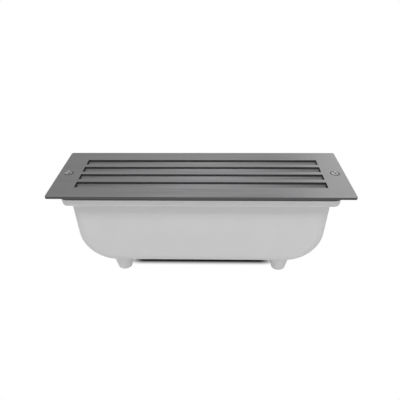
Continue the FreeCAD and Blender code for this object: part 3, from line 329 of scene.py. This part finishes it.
def closed_off(tree, row, radius, end_radius):
    """A skin's radius, which takes its end value in the first and last row."""
    middle = add(tree, "ShaderNodeMath", {0: row, 1: 0.5}, operation="SUBTRACT")
    off_middle = add(tree, "ShaderNodeMath", {0: middle}, operation="ABSOLUTE")
    is_end = add(tree, "ShaderNodeMath", {0: off_middle, 1: END_ROWS}, operation="GREATER_THAN")
    return add(tree, "GeometryNodeSwitch", {"Switch": is_end, "False": radius, "True": end_radius},
               input_type="FLOAT")


screw_tree, wanted, screw_end = geometry_tree("machine_screw", {
    "Geometry": "Geometry", "Foot Radius": "Float", "Head Radius": "Float", "Top Radius": "Float",
    "Head Height": "Float", "Top Height": "Float", "Dish": "Float", "Shank Radius": "Float",
    "Shank Length": "Float", "Pitch": "Float", "Rows": "Int", "Arm": "Float", "Cross Arm": "Float",
    "Arm Width": "Float", "Recess Depth": "Float", "Turn": "Float", "Finish": "Material"})

# The head's outline runs from its axis underneath, over its rim, to its axis on top.
RIM_TOP = 0.7
under = add(screw_tree, "ShaderNodeMath", {0: wanted["Head Height"], 1: -1.0}, operation="MULTIPLY")
shoulder = add(screw_tree, "ShaderNodeMath", {0: wanted["Top Height"], 1: -1.0}, operation="MULTIPLY")
rim = add(screw_tree, "ShaderNodeMath", {0: shoulder, 1: RIM_TOP}, operation="MULTIPLY")
hollow = add(screw_tree, "ShaderNodeMath", {0: wanted["Dish"], 1: -1.0}, operation="MULTIPLY")
head_outline = [(0.0, under), (wanted["Foot Radius"], under), (wanted["Head Radius"], shoulder),
                (wanted["Head Radius"], rim), (wanted["Top Radius"], 0.0), (0.0, hollow)]
HEAD_ROWS = len(head_outline)
corners = add(screw_tree, "GeometryNodeIndexSwitch", data_type="VECTOR")
while len(corners.index_switch_items) < HEAD_ROWS:
    corners.index_switch_items.new()
for number, (radius, level) in enumerate(head_outline, start=1):
    corner = add(screw_tree, "ShaderNodeCombineXYZ", {"X": radius, "Z": level})
    screw_tree.links.new(corner.outputs[0], corners.inputs[number])


def head_section(row, turn):
    """Radius and level of the head's outline at a row, the same all round."""
    place = add(screw_tree, "ShaderNodeMath", {0: row, 1: HEAD_ROWS - 1.0}, operation="MULTIPLY")
    number = add(screw_tree, "ShaderNodeMath", {0: place}, operation="ROUND")
    screw_tree.links.new(number.outputs[0], corners.inputs[0])
    corner = add(screw_tree, "ShaderNodeSeparateXYZ", {0: corners}).outputs
    return corner["X"], corner["Z"]


# The shank starts inside the head. A thread of V section winds round it, and its end rows
# sink to its axis at the level of their neighbours, which closes it.
THREAD_SLOPE = 0.9
HIDDEN_IN_HEAD = 0.8


def shank_section(row, turn):
    """Radius and level of the threaded shank."""
    down = add(screw_tree, "ShaderNodeMath", {0: row, 1: wanted["Shank Length"]}, operation="MULTIPLY")
    pitches = add(screw_tree, "ShaderNodeMath", {0: down, 1: wanted["Pitch"]}, operation="DIVIDE")
    turns = add(screw_tree, "ShaderNodeMath", {0: turn, 1: tau}, operation="DIVIDE")
    wound = add(screw_tree, "ShaderNodeMath", {0: pitches, 1: turns}, operation="ADD")
    ridge = add(screw_tree, "ShaderNodeMath", {0: wound, 1: 0.5}, operation="PINGPONG")
    slope = add(screw_tree, "ShaderNodeMath", {0: wanted["Pitch"], 1: THREAD_SLOPE}, operation="MULTIPLY")
    depth = add(screw_tree, "ShaderNodeMath", {0: ridge, 1: slope}, operation="MULTIPLY")
    crest = add(screw_tree, "ShaderNodeMath", {0: wanted["Shank Radius"], 1: depth}, operation="SUBTRACT")

    last = add(screw_tree, "ShaderNodeMath", {0: wanted["Rows"], 1: 1.0}, operation="SUBTRACT")
    step = add(screw_tree, "ShaderNodeMath", {0: 1.0, 1: last}, operation="DIVIDE")
    stop = add(screw_tree, "ShaderNodeMath", {0: 1.0, 1: step}, operation="SUBTRACT")
    inner = add(screw_tree, "ShaderNodeMath", {0: row, 1: step}, operation="MAXIMUM")
    inner = add(screw_tree, "ShaderNodeMath", {0: inner, 1: stop}, operation="MINIMUM")
    below = add(screw_tree, "ShaderNodeMath", {0: inner, 1: wanted["Shank Length"]}, operation="MULTIPLY")
    start = add(screw_tree, "ShaderNodeMath", {0: under, 1: HIDDEN_IN_HEAD}, operation="MULTIPLY")
    level = add(screw_tree, "ShaderNodeMath", {0: start, 1: below}, operation="SUBTRACT")
    return closed_off(screw_tree, row, crest, 0.0), level


def recess_arm(half_length, half_width):
    """One arm of the driver's recess, half as long and wide at its bottom."""
    half = add(screw_tree, "ShaderNodeCombineXYZ",
               {"X": half_length, "Y": half_width, "Z": wanted["Recess Depth"]})
    full = add(screw_tree, "ShaderNodeVectorMath", {0: half, 1: (2, 2, 2)}, operation="MULTIPLY")
    bar = add(screw_tree, "GeometryNodeMeshCube", {"Size": full})
    where = add(screw_tree, "GeometryNodeInputPosition")
    height = add(screw_tree, "ShaderNodeSeparateXYZ", {0: where}).outputs["Z"]
    is_bottom = add(screw_tree, "ShaderNodeMath", {0: height, 1: 0.0}, operation="LESS_THAN")
    narrowing = add(screw_tree, "ShaderNodeMath", {0: is_bottom, 1: -0.5, 2: 1.0}, operation="MULTIPLY_ADD")
    spread = add(screw_tree, "ShaderNodeCombineXYZ", {"X": narrowing, "Y": narrowing, "Z": 1.0})
    place = add(screw_tree, "ShaderNodeVectorMath", {0: where, 1: spread}, operation="MULTIPLY")
    return add(screw_tree, "GeometryNodeSetPosition", {0: bar, "Position": place})


HEAD_COLUMNS, SHANK_COLUMNS = 33, 25
head = turned_surface(screw_tree, HEAD_COLUMNS, HEAD_ROWS, head_section)
shank = turned_surface(screw_tree, SHANK_COLUMNS, wanted["Rows"], shank_section)
shank = add(screw_tree, "GeometryNodeFlipFaces", {0: shank})
blank = add(screw_tree, "GeometryNodeMeshBoolean", {"Mesh 2": shank}, operation="UNION", solver="EXACT")
screw_tree.links.new(head.outputs[0], blank.inputs["Mesh 2"])
long_arm = recess_arm(wanted["Arm"], wanted["Arm Width"])
cross_arm = recess_arm(wanted["Arm Width"], wanted["Cross Arm"])
driven = add(screw_tree, "GeometryNodeMeshBoolean", {"Mesh 1": blank, "Mesh 2": long_arm},
             operation="DIFFERENCE", solver="EXACT")
screw_tree.links.new(cross_arm.outputs[0], driven.inputs["Mesh 2"])
turned = add(screw_tree, "ShaderNodeCombineXYZ", {"Z": wanted["Turn"]})
placed = add(screw_tree, "GeometryNodeInstanceOnPoints",
             {"Points": wanted["Geometry"], "Instance": driven, "Rotation": turned})
real = add(screw_tree, "GeometryNodeRealizeInstances", {0: placed})
finished = add(screw_tree, "GeometryNodeSetMaterial", {0: real, "Material": wanted["Finish"]})
screw_tree.links.new(finished.outputs[0], screw_end.inputs[0])


def pair_in(node, radius):
    """Tops of a node's one or two screws: both ends of its longer side, one radius in."""
    low, high = (Vector(corner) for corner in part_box(node))
    middle = (low + high) / 2
    reach = [max(0.0, (high[i] - low[i]) / 2 - radius) for i in (0, 1)]
    tops = {(middle.x + side * reach[0], middle.y + side * reach[1], high.z) for side in (-1, 1)}
    return sorted(tops)


# The plate's heads stand in a groove and are dished: bright beyond the recess, dark before it.
# They were brushed with the plate. Their steep faces are near black: painted shade in the groove and recess.
HOLE_RADIUS = 4 * MM
PLATE_SCREW = {
    "Foot Radius": 2 * MM, "Head Radius": 3.2 * MM, "Top Radius": 3.1 * MM, "Head Height": 2 * MM,
    "Top Height": 0.8 * MM, "Dish": 0.6 * MM, "Shank Radius": 2 * MM, "Shank Length": 12.3 * MM,
    "Pitch": 0.7 * MM, "Rows": 101, "Arm": 2 * MM, "Cross Arm": 2 * MM, "Arm Width": 0.4 * MM,
    # Near black on the steep faces is painted shade in the groove and the recess.
    "Recess Depth": 1.4 * MM, "Finish": brushed_steel("turned_stainless_steel", "868687", 0.42, "3c3c3d")}
for side, angle in (("left", 20), ("right", 55)):
    node = f"faceplate_screw_{side}"
    screw = grown(f"countersunk_screw_{side}", screw_tree, PLATE_SCREW | {"Turn": radians(angle)},
                  pair_in(node, HOLE_RADIUS))
    stands_for(screw, node, f"screw_{side}")

zinc = metal("zinc_plated_steel", "b4b7ba", 0.3, cloud=9, spread=0.06)
PAN_RADIUS, PAN_HEIGHT = 2.75 * MM, 1.9 * MM
PAN_OVERLAP = 0.3 * MM
PAN_SCREW = {
    "Foot Radius": PAN_RADIUS, "Head Radius": PAN_RADIUS, "Top Radius": 2.1 * MM,
    "Head Height": PAN_HEIGHT, "Top Height": 0.9 * MM, "Shank Radius": 1.4 * MM, "Pitch": 0.9 * MM,
    "Rows": 61, "Arm": 1.6 * MM, "Cross Arm": 1.6 * MM, "Arm Width": 0.32 * MM,
    "Recess Depth": 1.2 * MM, "Turn": radians(35), "Finish": zinc}
for node in ("bracket_screws", "tray_screws", "reflector_screws", "block_screw", "earth_screw"):
    low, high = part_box(node)
    length = high[2] - low[2] - PAN_HEIGHT + PAN_OVERLAP
    screws = grown("pan_head_" + node, screw_tree, PAN_SCREW | {"Shank Length": length},
                   pair_in(node, PAN_RADIUS))
    stands_for(screws, node, "tub")

# Six slotted clamp screws, two to each pole of the block.
CLAMP_RADIUS = 1.6 * MM
CLAMP_SLOT = 0.25 * MM
CLAMP_SCREW = {
    "Foot Radius": CLAMP_RADIUS, "Head Radius": CLAMP_RADIUS, "Top Radius": 1.4 * MM,
    "Head Height": 1.3 * MM, "Top Height": 0.2 * MM, "Shank Radius": 1.3 * MM, "Shank Length": 1 * MM,
    "Pitch": 0.5 * MM, "Rows": 13, "Arm": 1.9 * MM, "Cross Arm": CLAMP_SLOT, "Arm Width": CLAMP_SLOT,
    "Recess Depth": 0.7 * MM, "Turn": radians(15), "Finish": zinc}
low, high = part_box("terminal_screws")
clamp_tops = [(x, y, high[2]) for x in (low[0] + CLAMP_RADIUS, high[0] - CLAMP_RADIUS)
              for y in (low[1] + CLAMP_RADIUS, (low[1] + high[1]) / 2, high[1] - CLAMP_RADIUS)]
clamps = grown("slotted_clamp_screws", screw_tree, CLAMP_SCREW, clamp_tops)
stands_for(clamps, "terminal_screws", "tub")


# ------------------------------------------------------------------ diffuser and its fixings
# A sheet of acid-etched glass bonded into the frame with a silicone bead. The etched skin
# blurs what is behind it. Brass inserts pressed into the tub's ears take the plate's
# screws, and nylon washers keep them in the plate.
def glass(name, colour, rough, grain, depth, clear=1.0):
    """Glass that lets a share of the light through, etched or poured with waves in millimetres."""
    made, tree = material(name)
    place = add(tree, "ShaderNodeTexCoord").outputs["Object"]
    waves = add(tree, "ShaderNodeTexNoise", {"Vector": place, "Scale": 1 / (grain * MM), "Detail": 2.0})
    broad = add(tree, "ShaderNodeTexNoise", {"Vector": place, "Scale": 1 / (25 * MM), "Detail": 2.0})
    dull = add(tree, "ShaderNodeMapRange",
               {"Value": broad.outputs["Fac"], **NOISE_SPAN, "To Min": rough - 0.03, "To Max": rough + 0.03})
    skin = add(tree, "ShaderNodeBump",
               {"Height": waves.outputs["Fac"], "Strength": 0.2, "Distance": depth * MM})
    poured = add(tree, "ShaderNodeBsdfPrincipled",
                 {"Roughness": dull, "Normal": skin, "Base Color": linear(colour),
                  "Transmission Weight": clear, "IOR": 1.52})
    add(tree, "ShaderNodeOutputMaterial", {"Surface": poured})
    return made


# Brass is warm yellow, its gloss drifting softly; silicone is milky; nylon is a waxy cream.
brass = metal("turned_brass", "c9a25c", 0.28, cloud=6)
dress(glass("acid_etched_glass", "e3ebe8", 0.5, 0.5, 0.1), "diffuser_glass")
dress(moulded("translucent_silicone_seal", "c9c9c6", 0.38, grain=2, depth=0.2, cloud=0.03), "diffuser_seal")
dress(moulded("natural_nylon_washer", "dddace", 0.5, grain=0.6, cloud=0.03), "screw_retainers")
dress(brass, "screw_inserts", "lampholder_contact")


# ------------------------------------------------------------------ lampholder
# An Edison screw holder: a moulded phenolic shell, near black with a satin gloss, a rolled
# brass sleeve with the lamp's thread, and a zinc-plated nipple and bracket. The sleeve's
# thread stands clear of the cap's by 0.3 mm.
sheet_tree, given, sheet_end = geometry_tree("rolled_thread", {
    "Geometry": "Geometry", "Radius": "Float", "Depth": "Float", "Pitch": "Float", "Length": "Float",
    "Thread Length": "Float", "Sheet": "Float", "Floor": "Float", "End Radius": "Float", "Rows": "Int",
    "Finish": "Material"})
FADE_OUT = 1.5 * MM


def sheet_section(row, turn):
    """Radius and level of a sheet, along its outside and back down its inside to its floor."""
    inside = add(sheet_tree, "ShaderNodeMath", {0: row, 1: 0.5}, operation="GREATER_THAN")
    outward = add(sheet_tree, "ShaderNodeMath", {0: row, 1: 2.0, 2: -1.0}, operation="MULTIPLY_ADD")
    outward = add(sheet_tree, "ShaderNodeMath", {0: outward}, operation="ABSOLUTE")
    share = add(sheet_tree, "ShaderNodeMath", {0: 1.0, 1: outward}, operation="SUBTRACT")
    along = add(sheet_tree, "ShaderNodeMath", {0: share, 1: given["Length"]}, operation="MULTIPLY")
    floor = add(sheet_tree, "ShaderNodeMath", {0: inside, 1: given["Floor"]}, operation="MULTIPLY")
    level = add(sheet_tree, "ShaderNodeMath", {0: along, 1: floor}, operation="MAXIMUM")

    travel = add(sheet_tree, "ShaderNodeMath", {0: level, 1: tau}, operation="MULTIPLY")
    travel = add(sheet_tree, "ShaderNodeMath", {0: travel, 1: given["Pitch"]}, operation="DIVIDE")
    wound = add(sheet_tree, "ShaderNodeMath", {0: travel, 1: turn}, operation="SUBTRACT")
    wave = add(sheet_tree, "ShaderNodeMath", {0: wound}, operation="COSINE")
    groove = add(sheet_tree, "ShaderNodeMath", {0: wave, 1: 0.5, 2: 0.5}, operation="MULTIPLY_ADD")
    left = add(sheet_tree, "ShaderNodeMath", {0: given["Thread Length"], 1: level}, operation="SUBTRACT")
    fade = add(sheet_tree, "ShaderNodeMath", {0: left, 1: FADE_OUT}, operation="DIVIDE", use_clamp=True)
    groove = add(sheet_tree, "ShaderNodeMath", {0: groove, 1: fade}, operation="MULTIPLY")
    pressed = add(sheet_tree, "ShaderNodeMath", {0: groove, 1: given["Depth"]}, operation="MULTIPLY")
    wall = add(sheet_tree, "ShaderNodeMath", {0: inside, 1: given["Sheet"]}, operation="MULTIPLY")
    radius = add(sheet_tree, "ShaderNodeMath", {0: given["Radius"], 1: pressed}, operation="SUBTRACT")
    radius = add(sheet_tree, "ShaderNodeMath", {0: radius, 1: wall}, operation="SUBTRACT")
    return closed_off(sheet_tree, row, radius, given["End Radius"]), level


SHEET_COLUMNS, SHEET_ROWS = 73, 161
sheet = turned_surface(sheet_tree, SHEET_COLUMNS, given["Rows"], sheet_section)
lying = add(sheet_tree, "GeometryNodeInstanceOnPoints",
            {"Points": given["Geometry"], "Instance": sheet, "Rotation": (0, pi / 2, 0)})
real = add(sheet_tree, "GeometryNodeRealizeInstances", {0: lying})
smooth = add(sheet_tree, "GeometryNodeSetShadeSmooth", {0: real})
finished = add(sheet_tree, "GeometryNodeSetMaterial", {0: smooth, "Material": given["Finish"]})
sheet_tree.links.new(finished.outputs[0], sheet_end.inputs[0])

LAMP_PITCH = 3.62 * MM


def rolled_shell(name, node, body, sizes):
    """A threaded sheet shell in place of a node's plain one, along the lamp's axis."""
    low, high = (Vector(corner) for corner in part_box(node))
    middle = (low + high) / 2
    sizes = sizes | {"Radius": (high.z - low.z) / 2, "Length": high.x - low.x, "Pitch": LAMP_PITCH,
                     "Rows": SHEET_ROWS}
    piece = grown(name, sheet_tree, sizes, [(low.x, middle.y, middle.z)])
    stands_for(piece, node, body)


# The sleeve is open at both ends, so its skin closes on itself where it starts, and its
# thread runs right through.
rolled_shell("rolled_brass_sleeve", "lampholder_sleeve", "tub", {
    "Depth": 0.2 * MM, "Sheet": 0.2 * MM, "Floor": 0.0, "End Radius": 13.7 * MM,
    "Thread Length": 1000 * MM, "Finish": brass})
dress(moulded("black_phenolic", "232324", 0.35, grain=0.4, depth=0.02, cloud=0.05), "lampholder_shell")
dress(zinc, "lampholder_nipple", "lampholder_bracket")


# ------------------------------------------------------------------ lamp
# A tubular opal lamp on a rolled aluminium cap, silvery and softly clouded. The insulator
# behind the cap is black and ends in a brass contact. Opal glass is white all through,
# with a fire-polished gloss.
dress(glass("opal_lamp_glass", "f1f1ee", 0.25, 8, 0.3, clear=0.25), "lamp_glass")
CAP_SHEET = 0.5 * MM
rolled_shell("rolled_lamp_cap", "lamp_cap", "lamp", {
    "Depth": 0.7 * MM, "Sheet": CAP_SHEET, "Floor": CAP_SHEET, "End Radius": 0.0,
    "Thread Length": 17 * MM, "Finish": metal("rolled_cap_aluminium", "c6c7c9", 0.3, cloud=5)})

CONTACT_START = -79.6 * MM
tip, tree = material("insulator_with_brass_contact")
place = add(tree, "ShaderNodeTexCoord").outputs["Object"]
along = add(tree, "ShaderNodeSeparateXYZ", {0: place}).outputs["X"]
drift = add(tree, "ShaderNodeTexNoise", {"Vector": place, "Scale": 1 / (2 * MM), "Detail": 2.0})
ragged = add(tree, "ShaderNodeMath", {0: drift.outputs["Fac"], 1: 0.3 * MM, 2: along},
             operation="MULTIPLY_ADD")
contact = add(tree, "ShaderNodeMath", {0: ragged, 1: CONTACT_START}, operation="LESS_THAN")
tone = add(tree, "ShaderNodeMix", {0: contact, 6: linear("1f1f20"), 7: linear("c9a25c")}, data_type="RGBA")
coat = add(tree, "ShaderNodeBsdfPrincipled",
           {"Base Color": tone.outputs[2], "Metallic": contact, "Roughness": 0.35})
add(tree, "ShaderNodeOutputMaterial", {"Surface": coat})
dress(tip, "lamp_tip")


# ------------------------------------------------------------------ reflector and gear
# A folded half-gloss aluminium trough, bright and streaked by its rolling lines; a
# zinc-plated gear tray; and a moulded nylon terminal block, waxy cream, with brass barrels.
dress(brushed_steel("half_gloss_aluminium", "d3d4d5", 0.34, "c2c3c4"), "reflector")
dress(zinc, "gear_tray")
dress(moulded("natural_nylon_block", "dcd9cc", 0.45, grain=0.6, cloud=0.03), "terminal_block")
dress(brass, "terminal_barrels")


# ------------------------------------------------------------------ leads and cable entry
# Single PVC-covered wires, extruded, smooth and a little glossy; the earth wire is green
# with a yellow stripe along its top. The cable comes in through a grommet moulded of dull
# black EPDM.
dress(moulded("blue_pvc_insulation", "2b58a0", 0.4, grain=1.5, depth=0.05, cloud=0.04), "neutral_lead")
dress(moulded("brown_pvc_insulation", "6a4226", 0.4, grain=1.5, depth=0.05, cloud=0.04), "live_lead")
dress(moulded("moulded_epdm_grommet", "202021", 0.7, grain=0.5, depth=0.05, cloud=0.06), "cable_grommet")

STRIPE_HALF = 0.45 * MM
earth, tree = material("green_yellow_pvc_insulation")
place = add(tree, "ShaderNodeTexCoord").outputs["Object"]
aside = add(tree, "ShaderNodeSeparateXYZ", {0: place}).outputs["Y"]
uneven = add(tree, "ShaderNodeTexNoise", {"Vector": place, "Scale": 1 / (3 * MM), "Detail": 2.0})
wavering = add(tree, "ShaderNodeMath", {0: uneven.outputs["Fac"], 1: 0.1 * MM, 2: aside},
               operation="MULTIPLY_ADD")
off_centre = add(tree, "ShaderNodeMath", {0: wavering}, operation="ABSOLUTE")
stripe = add(tree, "ShaderNodeMath", {0: off_centre, 1: STRIPE_HALF}, operation="LESS_THAN")
tone = add(tree, "ShaderNodeMix", {0: stripe, 6: linear("3f7f33"), 7: linear("dcc23a")}, data_type="RGBA")
sleeving = add(tree, "ShaderNodeBsdfPrincipled", {"Base Color": tone.outputs[2], "Roughness": 0.4})
add(tree, "ShaderNodeOutputMaterial", {"Surface": sleeving})
dress(earth, "earth_lead")
